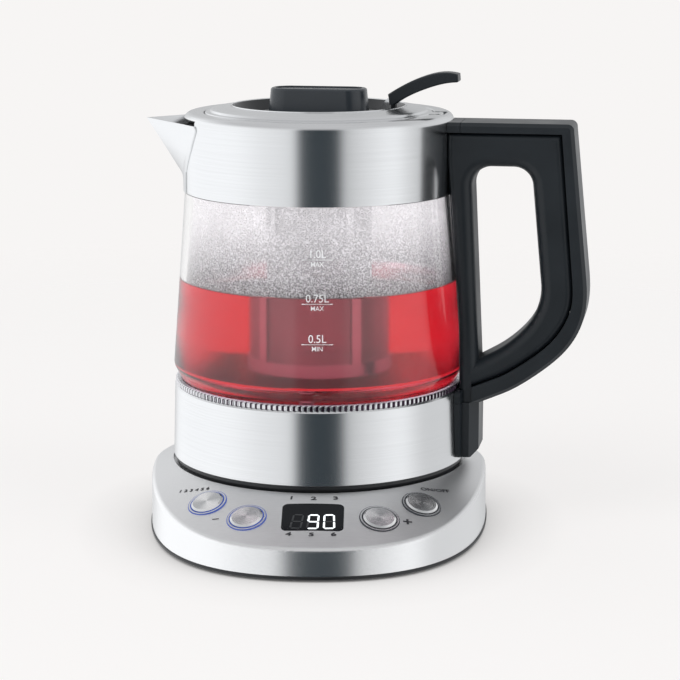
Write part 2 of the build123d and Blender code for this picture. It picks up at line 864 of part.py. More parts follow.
def foot_wings(bottom, top):
    """The part of the handle's foot that reaches round the band on both sides."""
    with BuildPart() as wings:
        with BuildSketch(Plane.YZ.offset(55)):
            with Locations((0, (COVER_BOTTOM + BAND_TOP) / 2)):
                RectangleRounded(2 * WING_HALF, BAND_TOP - COVER_BOTTOM, 3.4)
        extrude(amount=25)
        add(
            turned(
                (60, bottom),
                (BAND_BOTTOM_RADIUS + WING_THICK, bottom),
                (BAND_BOTTOM_RADIUS + WING_THICK, top),
                (60, top),
            ),
            mode=Mode.INTERSECT,
        )
    return wings.part


def opening_face():
    """Side view of the finger opening."""
    with BuildSketch() as face:
        with BuildLine():
            Polyline((77.8, 81.4), (73.3, 172.3), (101.0, 172.3), (106.3, 118.0))
            Spline(
                (106.3, 118.0),
                (104.9, 107.2),
                (99.4, 97.6),
                (90.2, 88.9),
                (77.8, 81.4),
                tangents=[(0.1, -1), (-1, -0.55)],
            )
        section = make_face()
        corners = section.vertices().group_by(Axis.Y)[-1]
        fillet(corners, 9.0)
    return face.sketch


def make_handle():
    half = HANDLE_WIDTH / 2
    with BuildPart() as frame:
        with BuildSketch(Plane.XZ.offset(-half)):
            add(outer_face())
            add(groove_face([(40, 0), (40, 0)], CLEARANCE), mode=Mode.SUBTRACT)
            with Locations((40, HANDLE_TOP)):
                Rectangle(2 * (68.4 - 40), 20, mode=Mode.SUBTRACT)
            with Locations((40, ARM_FOOT_HEIGHT)):
                Rectangle(2 * (STRAP_FOOT_X - 40), 20, mode=Mode.SUBTRACT)
        extrude(amount=HANDLE_WIDTH)
        outline = [
            edge
            for face in frame.faces().filter_by(Axis.Y)
            for edge in face.edges()
            if edge.center().Z > HANDLE_TOP - 0.5 or edge.center().X > 119
        ]
        chamfer(outline, 1.6)
    keep(frame, "handle_frame", JUG_TURN)

    strap_back = [
        (62.5, 188.0), (62.7, 172.0), (63.7, 160.0), (64.8, 148.0), (65.8, 132.0),
        (68.1, 103.0), (68.6, 89.0), (68.8, 77.0), (68.9, 61.0),
    ]
    with BuildPart() as grip:
        with BuildSketch(Plane.XZ.offset(-GRIP_WIDTH / 2)):
            add(groove_face(strap_back))
        extrude(amount=GRIP_WIDTH)
        with BuildSketch(Plane.XZ.offset(-GRIP_WIDTH / 2 - 1)):
            add(opening_face())
        extrude(amount=GRIP_WIDTH + 2, mode=Mode.SUBTRACT)
        inside = [
            edge
            for face in grip.faces().filter_by(Axis.Y)
            for edge in face.inner_wires()[0].edges()
        ]
        fillet(inside, GRIP_ROUNDING)
        outside = [
            edge
            for face in grip.faces().filter_by(Axis.Y)
            for edge in face.outer_wire().edges()
            if edge.center().Z > 70
        ]
        fillet(outside, EDGE_ROUNDING)
        with BuildSketch(Plane.XZ.offset(-STRAP_TOUCH)):
            with BuildLine():
                Polyline(
                    (55, 187.8), (66.0, 187.8), (66.0, 160.0), (70.5, 100.0), (72.0, 77.0),
                    (72.0, ARM_FOOT_HEIGHT), (55, ARM_FOOT_HEIGHT), close=True,
                )
            make_face()
        extrude(amount=2 * STRAP_TOUCH)
        add(foot_wings(ARM_FOOT_HEIGHT, BAND_TOP))
        add(jug_body(), mode=Mode.SUBTRACT)
        with BuildSketch(Plane.XY.offset(ARM_FOOT_HEIGHT - 5)):
            with Locations(*HANDLE_SCREWS):
                Circle(1.25)
        extrude(amount=17, mode=Mode.SUBTRACT)
    keep(grip, "handle_grip", JUG_TURN)

    with BuildPart() as cover:
        with BuildSketch(Plane.XY.offset(COVER_BOTTOM)):
            with Locations((69.9, 0)):
                Rectangle(16.8, HANDLE_WIDTH)
        extrude(amount=ARM_FOOT_HEIGHT - 0.15 - COVER_BOTTOM)
        posts = cover.edges().filter_by(Axis.Z).group_by(Axis.X)[-1]
        chamfer(posts, 4.2)
        chamfer(cover.faces().sort_by(Axis.Z)[0].edges().group_by(Axis.X)[-1], 3.4)
        add(foot_wings(COVER_BOTTOM, ARM_FOOT_HEIGHT - 0.15))
        add(jug_body(), mode=Mode.SUBTRACT)
        with BuildSketch(Plane.XY.offset(32.6)):
            with Locations(*HANDLE_SCREWS):
                Circle(2.3)
        extrude(amount=14, mode=Mode.SUBTRACT)
        with BuildSketch(Plane.XY.offset(32.6)):
            with Locations(*HANDLE_SCREWS):
                Circle(1.3)
        extrude(amount=40, mode=Mode.SUBTRACT)
    keep(cover, "strap_cover", JUG_TURN)

    with BuildPart() as screws:
        with BuildSketch(Plane.XY.offset(44.4)):
            with Locations(*HANDLE_SCREWS):
                Circle(2.2)
        extrude(amount=2.1)
        with BuildSketch(Plane.XY.offset(44.4)):
            with Locations(*HANDLE_SCREWS):
                Circle(1.2)
        extrude(amount=26)
    keep(screws, "handle_screws", JUG_TURN)

    with BuildPart() as cap:
        with BuildSketch(Plane.XZ.offset(-half)):
            with Locations(((60 + 68.2) / 2, (187.95 + HANDLE_TOP) / 2)):
                Rectangle(8.2, HANDLE_TOP - 187.95)
        extrude(amount=HANDLE_WIDTH)
        chamfer(cap.edges().filter_by(Axis.X).group_by(Axis.Z)[-1], 1.6)
        add(jug_body(), mode=Mode.SUBTRACT)
    keep(cap, "hinge_cap", JUG_TURN)


# --- Lid ---------------------------------------------------------------------------------


def make_lid():
    with BuildPart() as lid_ring:
        add(
            turned(
                (41.2, 198.5),
                (49.6, 197.2),
                (50.6, 196.9),
                (51.2, 196.0),
                (53.1, 195.7),
                (LID_RADIUS, 195.2),
                (LID_RADIUS, 193.9),
                (51.6, 193.9),
                (41.2, 196.4),
            )
        )
        with BuildSketch(Plane.XZ.offset(-5.4)):
            with Locations((HINGE_X, HINGE_Z)):
                Circle(2.2)
            with BuildLine():
                Polyline(
                    (51.5, 194.1),
                    (51.5, 195.6),
                    (HINGE_X, HINGE_Z + 2.0),
                    (HINGE_X, HINGE_Z - 0.6),
                    close=True,
                )
            make_face()
        extrude(amount=10.8)
        with BuildSketch(Plane.XZ.offset(-15)):
            with Locations((HINGE_X, HINGE_Z)):
                Circle(PIN_RADIUS + 0.06)
        extrude(amount=30, mode=Mode.SUBTRACT)
    keep(lid_ring, "lid_ring", JUG_TURN)

    with BuildPart() as bezel:
        add(ring(DISH_RADIUS + 0.05, 41.1, 196.6, 198.9))
        fillet(bezel.edges().group_by(Axis.Z)[-1], 0.3)
    keep(bezel, "dish_bezel", JUG_TURN)

    with BuildPart() as dish:
        add(
            turned(
                (LID_HOLE, DISH_FLOOR - 1.6),
                (38.4, DISH_FLOOR - 1.6),
                (DISH_RADIUS, 196.2),
                (DISH_RADIUS, 198.6),
                (39.2, 198.6),
                (37.4, DISH_FLOOR),
                (LID_HOLE, DISH_FLOOR),
            )
        )
    keep(dish, "lid_dish", JUG_TURN)

    with BuildPart() as liner:
        add(
            turned(
                (28.6, 187.6),
                (51.0, 187.6),
                (51.0, 193.6),
                (49.8, 193.6),
                (49.8, 189.0),
                (29.8, 189.0),
                (29.8, 192.5),
                (28.6, 192.5),
            )
        )
    keep(liner, "lid_liner", JUG_TURN)

    with BuildPart() as seal:
        add(
            turned(
                (51.05, 189.4),
                (52.2, 189.4),
                (53.5, 190.2),
                (53.5, 190.8),
                (52.2, 191.0),
                (51.05, 191.6),
            )
        )
    keep(seal, "lid_seal", JUG_TURN)


def make_lever():
    half = 5.0
    with BuildPart() as lever:
        with BuildSketch(Plane.XZ.offset(-half)):
            with BuildLine():
                Polyline((36.6, 199.4), (34.7, 199.4), (33.5, 204.3))
                Spline((33.5, 204.3), (40.8, 208.7), (49.2, 212.4), (57.6, 214.5), (66.0, 213.9))
                Line((66.0, 213.9), (66.3, 210.2))
                Spline((66.3, 210.2), (59.3, 209.4), (51.0, 206.9), (43.0, 203.4), (36.6, 199.4))
            make_face()
        extrude(amount=2 * half)
        fillet(lever.edges().filter_by(Axis.Y).group_by(Axis.X)[-1], 0.8)
        long_edges = [
            edge
            for face in lever.faces().filter_by(Axis.Y)
            for edge in face.edges()
            if edge.center().Z > 203 and edge.center().X > 35
        ]
        fillet(long_edges, 0.7)
        with BuildSketch(Plane.XY.offset(DISH_FLOOR + 0.05)):
            with Locations((35.6, 0)):
                Rectangle(2.0, 5.0)
        extrude(amount=6.5)
    keep(lever, "lid_lever", JUG_TURN)
    with BuildPart() as bracket:
        with BuildSketch(Plane.XZ.offset(-4.0)):
            with BuildLine():
                Polyline(
                    (28.6, DISH_FLOOR + 0.05),
                    (32.6, DISH_FLOOR + 0.05),
                    (34.0, 199.3),
                    (33.8, 202.2),
                    (33.2, 202.4),
                    (29.8, 198.4),
                    (28.6, DISH_FLOOR + 1.6),
                    close=True,
                )
            make_face()
        extrude(amount=8.0)
    keep(bracket, "lever_bracket", JUG_TURN)


# --- Tea filter ----------------------------------------------------------------------------


def make_filter():
    cap_top = DISH_FLOOR + 1.0
    with BuildPart() as cap:
        add(
            turned(
                (0, DISH_FLOOR - 3.6),
                (LID_HOLE - 0.4, DISH_FLOOR - 3.6),
                (LID_HOLE - 0.4, DISH_FLOOR + 0.05),
                (28.3, DISH_FLOOR + 0.05),
                (28.3, cap_top),
                (0, cap_top),
            )
        )
    keep(cap, "filter_cap", JUG_TURN)

    with BuildPart() as knob:
        for height, inset in ((cap_top + 0.02, 0.0), (KNOB_TOP, 0.9)):
            with BuildSketch(Plane.XY.offset(height)):
                RectangleRounded(KNOB_LENGTH - 2 * inset, KNOB_WIDTH - 2 * inset, 8.5)
        loft()
        fillet(knob.edges().group_by(Axis.Z)[-1], 1.1)
        with BuildSketch(Plane.XY.offset(KNOB_TOP)):
            RectangleRounded(KNOB_LENGTH - 6, KNOB_WIDTH - 6, 6.5)
        extrude(amount=-0.6, mode=Mode.SUBTRACT)
    keep(knob, "filter_knob", JUG_TURN)

    with BuildPart() as frame:
        add(ring(25.2, 26.6, 183.0, DISH_FLOOR - 3.65))
        add(ring(BASKET_RADIUS - 1.2, BASKET_RADIUS, BASKET_BOTTOM, BASKET_BOTTOM + 4))
        with BuildSketch(Plane.XY.offset(BASKET_BOTTOM + 2)):
            with PolarLocations(BASKET_RADIUS - 0.35, 4, start_angle=45):
                Rectangle(0.7, 4.0)
        extrude(amount=182.0 + 3 - BASKET_BOTTOM)
    keep(frame, "basket_frame", JUG_TURN)

    with BuildPart() as mesh:
        add(ring(BASKET_RADIUS - 1.25, BASKET_RADIUS - 0.8, BASKET_BOTTOM + 4.05, 183.0 - 0.05))
    keep(mesh, "basket_mesh", JUG_TURN)

    with BuildPart() as bottom:
        with BuildSketch(Plane.XY.offset(BASKET_BOTTOM + 0.3)):
            Circle(BASKET_RADIUS - 1.25)
        extrude(amount=0.6)
    keep(bottom, "basket_bottom", JUG_TURN)


make_base_shell()
make_base_plate()
make_base_chassis()
make_power_socket()
make_socket_contacts()
make_panel_frame()
make_button_switches()
for button_name, button_place in BUTTONS.items():
    make_light_ring(button_name, button_place)
    make_button(button_name, button_place)
make_display()
make_electronics()
make_base_hardware()
make_jug_plug()
make_jug_foot()
make_lower_band()
make_trim_ring()
make_glass()
make_jug_floor()
make_collar()
make_spout()
make_hinge()
make_handle()
make_lid()
make_lever()
make_filter()
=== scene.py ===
import math

import bpy
import numpy as np
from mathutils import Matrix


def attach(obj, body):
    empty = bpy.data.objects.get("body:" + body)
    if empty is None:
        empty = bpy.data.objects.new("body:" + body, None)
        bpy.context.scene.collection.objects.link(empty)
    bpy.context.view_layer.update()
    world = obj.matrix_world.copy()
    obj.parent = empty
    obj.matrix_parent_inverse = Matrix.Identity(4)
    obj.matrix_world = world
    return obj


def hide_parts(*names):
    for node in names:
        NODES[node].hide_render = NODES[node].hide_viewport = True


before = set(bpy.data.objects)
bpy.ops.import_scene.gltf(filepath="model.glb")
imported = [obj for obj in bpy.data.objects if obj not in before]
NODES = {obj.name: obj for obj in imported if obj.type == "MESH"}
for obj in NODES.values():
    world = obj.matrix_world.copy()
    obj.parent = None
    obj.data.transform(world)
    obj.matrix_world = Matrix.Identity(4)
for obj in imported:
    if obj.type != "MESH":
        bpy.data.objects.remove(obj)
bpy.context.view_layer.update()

bl_info = {
    "name": "Glass tea maker",
    "version": (1, 0, 0),
    "blender": (4, 5, 0),
    "location": "3D View > Sidebar > Tea maker",
    "description": "Dresses the packed tea maker: steel, glass, tea, handle, panel and studio",
    "category": "Object",
}

MM = 0.001

# Facts of the frame that the dressing follows, in millimetres
PANEL_SLOPE = math.radians(22.2)    # fall of the base's conical top
CONE_RADIUS = 72.0                  # radius at which the cone has the height below
CONE_HEIGHT = 29.2
BUTTON_PLACES = {                   # radius on the cone, degrees from the front
    "program": (84.0, -35.3),
    "minus": (89.4, -19.4),
    "plus": (89.4, 19.4),
    "power": (84.0, 35.3),
}
LIT_RINGS = ("program", "minus")
DISPLAY_RADIUS = 89.5               # radius on the cone of the display's middle
PRINT_LIFT = 0.09                   # how far the panel's print stands off the steel
GLASS_TOP_RADIUS = 63.2             # outside of the glass at the collar's lower edge
GLASS_TAPER = 0.077                 # radius gained per millimetre downwards
COLLAR_BOTTOM = 158.8
INSIDE_HEIGHTS = (63.0, 69.6, 76.5, 150.8, 166.0)   # corners of the inside of the glass
INSIDE_RADII = (63.7, 63.7, 67.14, 59.8, 58.5)
FLOOR_TOP = 61.15                   # the heater plate, the floor of the jug
PLATE_RIM_RADIUS = 60.6             # just inside the plate's upstanding rim
PLATE_RIM_TOP = 66.3                # just above it
TOOTH_COUNT = 166                   # teeth of the trim ring
TOOTH_REACH = 0.0062                # share of the radius by which a tooth stands out

# The camera and the studio
CAMERA_PLACE = (0.0353, -0.9771, 0.2870)    # metres
CAMERA_FALL, CAMERA_TURN = 11.62, 1.49      # degrees down from level, and to the left
FOCAL_LENGTH, SENSOR_WIDTH = 110.2, 36.0    # millimetres
LAMPS = (                                   # name, place, size, power
    ("key", (-0.9, -0.9, 1.5), 1.1, 9.0),
    ("fill", (1.1, -0.6, 1.2), 0.9, 4.0),
)
LAMP_TARGET = (0.0, 0.0, 0.1)
COMPASS = (                                 # degrees from the viewer to the right, brightness there
    (-180, 0.55), (-160, 0.75), (-150, 1.0), (-140, 1.14), (-90, 1.15), (-72, 1.13), (-60, 1.07),
    (-46, 0.97), (-28, 0.90), (-19.5, 0.88), (-13.3, 0.042), (17.9, 0.042), (23.5, 0.62), (29, 0.71),
    (34, 0.76), (40, 0.83), (48, 0.91), (57, 1.0), (65, 1.05), (72, 1.03), (78, 0.93), (85, 0.82),
    (92, 0.74), (131, 0.76), (150, 0.75), (165, 0.62), (180, 0.55),
)
DARK_GREY = 0.1                             # a direction darker than this has the dark tint
DARK_TINT, PALE_TINT = (0.68, 0.95, 1.15), (0.985, 0.993, 1.005)
CEILING = (0.62, 0.62, 0.63)
FLOOR_PAPER = (0.3, 0.296, 0.292)
SHADOW_REACH, SHADOW_POWER = 0.04, 0.58     # metres, and how strongly the contact shadow darkens

# A surface of a spun piece is a wall where it looks this squarely from the axis, and a flat top above this
WALL_FACING, FLAT_TOP = 0.93, 0.9985


# --- Sizes and colours that a user would change -------------------------------------


class TeaSettings(bpy.types.PropertyGroup):
    level: bpy.props.FloatProperty(
        name="Tea level", description="Height of the tea above the table, in millimetres",
        default=117.6, min=70.0, max=150.0)
    depth_colour: bpy.props.FloatVectorProperty(
        name="Tea colour", description="What the tea lets through",
        subtype="COLOR", size=3, default=(0.965, 0.04, 0.17), min=0.0, max=1.0)
    strength: bpy.props.FloatProperty(
        name="Strength", description="How quickly light is lost in the tea, per metre",
        default=40.0, min=0.0)
    mist_top: bpy.props.FloatProperty(
        name="Mist top", description="Upper edge of the moisture on the glass, in millimetres",
        default=160.0)


class SteelSettings(bpy.types.PropertyGroup):
    jug_colour: bpy.props.FloatVectorProperty(
        name="Jug steel", description="Colour of the jug's brushed steel",
        subtype="COLOR", size=3, default=(0.80, 0.81, 0.82), min=0.0, max=1.0)
    base_colour: bpy.props.FloatVectorProperty(
        name="Base steel", description="Colour of the base's brushed steel",
        subtype="COLOR", size=3, default=(0.87, 0.875, 0.88), min=0.0, max=1.0)
    roughness: bpy.props.FloatProperty(
        name="Roughness", description="Roughness of the brushed steel", default=0.2, min=0.0, max=1.0)


class PanelSettings(bpy.types.PropertyGroup):
    reading: bpy.props.StringProperty(
        name="Reading", description="Digits on the display, right aligned", default="90")
    glow: bpy.props.FloatVectorProperty(
        name="Ring light", description="Colour of the lit rings",
        subtype="COLOR", size=3, default=(0.08, 0.17, 0.80), min=0.0, max=1.0)
    glow_strength: bpy.props.FloatProperty(
        name="Ring strength", description="Strength of the lit rings", default=0.42, min=0.0)
    print_size: bpy.props.FloatProperty(
        name="Print size", description="Height of the panel's print, in millimetres", default=2.9, min=0.5)


class StudioSettings(bpy.types.PropertyGroup):
    background: bpy.props.FloatVectorProperty(
        name="Background", description="Colour behind the object",
        subtype="COLOR", size=3, default=(0.930, 0.914, 0.905), min=0.0, max=1.0)
    floor_light: bpy.props.FloatProperty(
        name="Floor light", description="How much the floor shines of itself", default=0.715, min=0.0)
    floor_radius: bpy.props.FloatProperty(
        name="Floor radius", description="Radius of the floor", subtype="DISTANCE", unit="LENGTH",
        default=0.9, min=0.3)


# --- Surfaces -------------------------------------------------------------------------


def mesh_object(name, points, faces, body, smooth=True):
    """A finished piece from points in millimetres (n, 3) and faces, riding on a body."""
    mesh = bpy.data.meshes.new(name)
    mesh.from_pydata((np.asarray(points, float) * MM).tolist(), [], [list(f) for f in faces])
    mesh.polygons.foreach_set("use_smooth", np.full(len(mesh.polygons), smooth))
    mesh.update()
    piece = bpy.data.objects.new(name, mesh)
    bpy.context.scene.collection.objects.link(piece)
    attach(piece, body)
    return piece


def grid_faces(rows, columns, close_rows=False, close_columns=False, start=0):
    """Quads of a rows x columns grid of points numbered row by row."""
    row, column = np.arange(rows - (not close_rows)), np.arange(columns - (not close_columns))
    i, j = np.meshgrid(row, column, indexing="ij")
    i2, j2 = (i + 1) % rows, (j + 1) % columns
    quads = np.stack([i * columns + j, i * columns + j2, i2 * columns + j2, i2 * columns + j], -1)
    return quads.reshape(-1, 4) + start


def lathe(profile, columns=192, phase=0.0):
    """Closed profile of (radius, height) points carried round Z: x = r cos a, y = r sin a.
    The profile runs anticlockwise seen with the radius to the right, so the faces point outwards."""
    profile = np.asarray(profile, float)
    angle = np.linspace(0, 2 * np.pi, columns, endpoint=False) + phase
    r, z = profile[:, 0][:, None], profile[:, 1][:, None]
    points = np.stack([r * np.cos(angle), r * np.sin(angle), z + 0 * angle], -1).reshape(-1, 3)
    faces = grid_faces(len(profile), columns, close_rows=True, close_columns=True)
    return points, faces


def cone_height(radius):
    """Height of the base's conical top: it falls by tan(slope) for each millimetre of radius."""
    return CONE_HEIGHT - math.tan(PANEL_SLOPE) * (radius - CONE_RADIUS)


def on_cone(flat, radius, degrees=0.0):
    """Lays flat points (x across, y up the slope, z lift) on the cone at a radius and angle.
    The distance along the slope changes the radius, and x is an arc at that radius."""
    flat = np.asarray(flat, float)
    r = radius - flat[:, 1] * math.cos(PANEL_SLOPE)
    angle = math.radians(degrees) + flat[:, 0] / radius
    lift_out, lift_up = math.sin(PANEL_SLOPE) * flat[:, 2], math.cos(PANEL_SLOPE) * flat[:, 2]
    z = cone_height(r) + lift_up
    r = r + lift_out
    return np.stack([r * np.sin(angle), -r * np.cos(angle), z], -1)


def button_frame(place):
    """Origin of a button's place on the cone, and the unit vectors across and up the slope there."""
    radius, degrees = place
    a = math.radians(degrees)
    s, c = math.sin(PANEL_SLOPE), math.cos(PANEL_SLOPE)
    origin = np.array([radius * math.sin(a), -radius * math.cos(a), cone_height(radius)])
    across = np.array([math.cos(a), math.sin(a), 0.0])
    normal = np.array([s * math.sin(a), -s * math.cos(a), c])
    return origin, across, np.cross(normal, across)


def inner_glass(z):
    """Inner radius of the glass at a height, in millimetres: a straight run to each corner."""
    return np.interp(z, INSIDE_HEIGHTS, INSIDE_RADII)


def turned_flat(points, degrees):
    """Turns flat points about the origin: x cos a - y sin a, x sin a + y cos a."""
    c, s = math.cos(math.radians(degrees)), math.sin(math.radians(degrees))
    x, y, z = points.T
    return np.column_stack([x * c - y * s, x * s + y * c, z])


def text_points(words, size, wide=1.0, thick=0.05, bold=0.022):
    """Points and faces of plain lettering: a font curve filled, made a mesh, centred, in millimetres.
    Wide stretches it across, and bold thickens its strokes by that share of the size."""
    curve = bpy.data.curves.new("lettering", "FONT")
    curve.body = words
    curve.size = size
    curve.extrude = thick / 2
    curve.offset = bold * size
    curve.resolution_u = 4
    curve.align_x, curve.align_y = "CENTER", "CENTER"
    holder = bpy.data.objects.new("lettering", curve)
    bpy.context.scene.collection.objects.link(holder)
    bpy.context.view_layer.update()
    depsgraph = bpy.context.evaluated_depsgraph_get()
    mesh = bpy.data.meshes.new_from_object(holder.evaluated_get(depsgraph))
    points = np.empty(len(mesh.vertices) * 3)
    mesh.vertices.foreach_get("co", points)
    faces = [list(p.vertices) for p in mesh.polygons]
    bpy.data.objects.remove(holder)
    bpy.data.curves.remove(curve)
    bpy.data.meshes.remove(mesh)
    points = points.reshape(-1, 3)
    points[:, 0] *= wide
    return points, faces


def joined(parts):
    """One set of points and faces from several."""
    points, faces, start = [], [], 0
    for part_points, part_faces in parts:
        points.append(np.asarray(part_points, float))
        faces += [[int(v) + start for v in f] for f in part_faces]
        start += len(part_points)
    return np.concatenate(points), faces


def slab(outline, thick=0.05):
    """A flat closed outline (n, 2) given a thickness: a top face, a bottom face and a rim."""
    outline = np.asarray(outline, float)
    n = len(outline)
    top = np.column_stack([outline, np.full(n, thick / 2)])
    bottom = np.column_stack([outline, np.full(n, -thick / 2)])
    faces = [list(range(n)), list(range(2 * n - 1, n - 1, -1))]
    faces += [[i, i + n, (i + 1) % n + n, (i + 1) % n] for i in range(n)]
    return np.concatenate([top, bottom]), faces


def dash(half_wide, half_high):
    """A flat upright rectangle about the origin."""
    corners = np.array([(-1, -1), (1, -1), (1, 1), (-1, 1)])
    return slab(corners * (half_wide, half_high))


# --- Materials ------------------------------------------------------------------------


class Nodes:
    """A node tree and short ways to add to it."""

    def __init__(self, tree):
        self.tree = tree

    def node(self, kind, **settings):
        made = self.tree.nodes.new(kind)
        for key, value in settings.items():
            setattr(made, key, value)
        return made

    def link(self, source, target):
        self.tree.links.new(source, target)

    def split(self, source):
        """The X, Y and Z of a vector."""
        made = self.node("ShaderNodeSeparateXYZ")
        self.link(source, made.inputs[0])
        return made.outputs

    def spread(self, source, low, high, start=0.0, end=1.0):
        """Maps source from start..end to low..high."""
        made = self.node("ShaderNodeMapRange")
        self.link(source, made.inputs["Value"])
        for socket, value in (("From Min", start), ("From Max", end), ("To Min", low), ("To Max", high)):
            made.inputs[socket].default_value = value
        return made.outputs["Result"]

    def maths(self, operation, first, second=0.0):
        made = self.node("ShaderNodeMath", operation=operation)
        for socket, value in zip(made.inputs, (first, second)):
            if isinstance(value, (int, float)):
                socket.default_value = value
            else:
                self.link(value, socket)
        return made.outputs[0]

    def vector(self, operation, first, second=None, scale=None):
        made = self.node("ShaderNodeVectorMath", operation=operation)
        self.link(first, made.inputs[0])
        if isinstance(second, tuple):
            made.inputs[1].default_value = second
        elif second is not None:
            self.link(second, made.inputs[1])
        if scale is not None:
            self.link(scale, made.inputs["Scale"])
        return made.outputs["Value" if operation in ("DOT_PRODUCT", "LENGTH") else "Vector"]

    def level(self, source):
        """A vector with its Z taken out."""
        return self.vector("MULTIPLY", source, (1.0, 1.0, 0.0))

    def blend(self, factor, dark, light):
        """Mixes two colours, each given as numbers or as a socket."""
        made = self.node("ShaderNodeMix", data_type="RGBA")
        self.link(factor, made.inputs["Factor"])
        for socket, colour in (("A", dark), ("B", light)):
            if isinstance(colour, tuple):
                made.inputs[socket].default_value = (*colour, 1.0)
            else:
                self.link(colour, made.inputs[socket])
        return made.outputs["Result"]


class Finish(Nodes):
    """A procedural material: one Principled shader and the nodes that feed it."""

    def __init__(self, name, colour=(0.5, 0.5, 0.5), **values):
        self.material = bpy.data.materials.new(name)
        self.material.use_nodes = True
        super().__init__(self.material.node_tree)
        self.shader = self.tree.nodes["Principled BSDF"]
        self.shader.inputs["Base Color"].default_value = (*colour, 1.0)
        for key, value in values.items():
            self.shader.inputs[key.replace("_", " ").title().replace("Ior", "IOR")].default_value = value
        self.place = self.node("ShaderNodeTexCoord").outputs["Object"]
        self.turned = None      # the exact normals of a spun piece

    def mapped(self, scale):
        """The place on the piece, scaled along each axis."""
        mapping = self.node("ShaderNodeMapping")
        self.link(self.place, mapping.inputs["Vector"])
        mapping.inputs["Scale"].default_value = scale
        return mapping.outputs["Vector"]

    def noise(self, vector, scale=1.0, detail=2.0, roughness=0.5):
        made = self.node("ShaderNodeTexNoise")
        self.link(vector, made.inputs["Vector"])
        made.inputs["Scale"].default_value = scale
        made.inputs["Detail"].default_value = detail
        made.inputs["Roughness"].default_value = roughness
        return made.outputs["Fac"]

    def measured_from(self, point):
        """The place on the piece seen from a point in millimetres, and its distance."""
        offset = self.vector("SUBTRACT", self.place, tuple(point * MM))
        return offset, self.vector("LENGTH", offset)

    def colour(self, source):
        self.link(source, self.shader.inputs["Base Color"])

    def feed(self, socket, source):
        self.link(source, self.shader.inputs[socket])

    def glow(self, colour):
        self.shader.inputs["Emission Color"].default_value = (*colour, 1.0)

    def wander(self, scale, low, high, detail=2.0, start=0.0, end=1.0):
        """Lets the roughness wander from low to high as a noise does."""
        self.feed("Roughness", self.spread(self.noise(self.place, scale, detail), low, high, start, end))

    def bump(self, height, strength=0.2, distance=0.0002):
        made = self.node("ShaderNodeBump")
        made.inputs["Strength"].default_value = strength
        made.inputs["Distance"].default_value = distance
        self.link(height, made.inputs["Height"])
        if self.turned:
            self.link(self.turned, made.inputs["Normal"])
        self.link(made.outputs["Normal"], self.shader.inputs["Normal"])

    def carried(self, normal, start, end):
        """A normal taken from one space to another."""
        made = self.node("ShaderNodeVectorTransform", vector_type="NORMAL", convert_from=start,
                         convert_to=end)
        self.link(normal, made.inputs[0])
        return made.outputs[0]

    def spun_normal(self):
        """Normals of a piece turned on a lathe. On a wall the level part of the normal points exactly
        away from the axis Z, or towards it, whatever the mesh's own smoothing says. A flat top takes its
        face's normal. A cut face, which looks along the turn, keeps what it has."""
        surface = self.node("ShaderNodeNewGeometry")
        normal = self.carried(surface.outputs["Normal"], "WORLD", "OBJECT")
        face = self.carried(surface.outputs["True Normal"], "WORLD", "OBJECT")
        radial = self.vector("NORMALIZE", self.level(self.place))
        facing = self.vector("DOT_PRODUCT", self.vector("NORMALIZE", self.level(normal)), radial)
        high = self.split(normal)["Z"]
        across = self.maths("SUBTRACT", 1.0, self.maths("MULTIPLY", high, high))
        across = self.maths("SQRT", self.maths("MAXIMUM", across, 0.0))
        across = self.maths("MULTIPLY", across, self.maths("SIGN", facing))
        upright = self.node("ShaderNodeCombineXYZ")
        self.link(high, upright.inputs["Z"])
        exact = self.vector("ADD", self.vector("SCALE", radial, scale=across), upright.outputs[0])
        on_wall = self.maths("GREATER_THAN", self.maths("ABSOLUTE", facing), WALL_FACING)
        on_top = self.maths("GREATER_THAN", self.split(face)["Z"], FLAT_TOP)
        mixed = normal
        for factor, other in ((on_wall, exact), (on_top, face)):
            # Sockets 4 and 5 are the vectors A and B, and output 1 is the vector result.
            mix = self.node("ShaderNodeMix", data_type="VECTOR")
            self.link(factor, mix.inputs["Factor"])
            self.link(mixed, mix.inputs[4])
            self.link(other, mix.inputs[5])
            mixed = mix.outputs[1]
        self.turned = self.vector("NORMALIZE", self.carried(mixed, "OBJECT", "WORLD"))
        self.link(self.turned, self.shader.inputs["Normal"])


def paint(finish, *names):
    """Gives the finish to CAD nodes by name, or to pieces."""
    for name in names:
        piece = NODES[name] if isinstance(name, str) else name
        piece.data.materials.clear()
        piece.data.materials.append(finish.material)


def brushed_steel(name, colour, roughness, lines=(14, 14, 3600), spun=False):
    """Brushed steel: very fine lines in the tint, the roughness and the relief. Lines gives the noise's
    scale on X, Y and Z, low along the brushing and high across it. Spun steel has a lathe's normals."""
    steel = Finish(name, colour, metallic=1.0, roughness=roughness)
    if spun:
        steel.spun_normal()
    fine = steel.noise(steel.mapped(lines), 1.0, 3.0, 0.6)
    broad = steel.noise(steel.mapped((14, 14, 14)), 1.0, 2.0)
    dark = tuple(c * 0.965 for c in colour)
    light = tuple(min(1.0, c * 1.025) for c in colour)
    steel.colour(steel.blend(steel.spread(fine, 0, 1, 0.3, 0.7), dark, light))
    sheen = steel.spread(broad, roughness - 0.015, roughness + 0.015)
    steel.feed("Roughness", steel.maths("ADD", steel.spread(fine, -0.02, 0.02), sheen))
    steel.bump(fine, 0.02, 0.00005)
    return steel


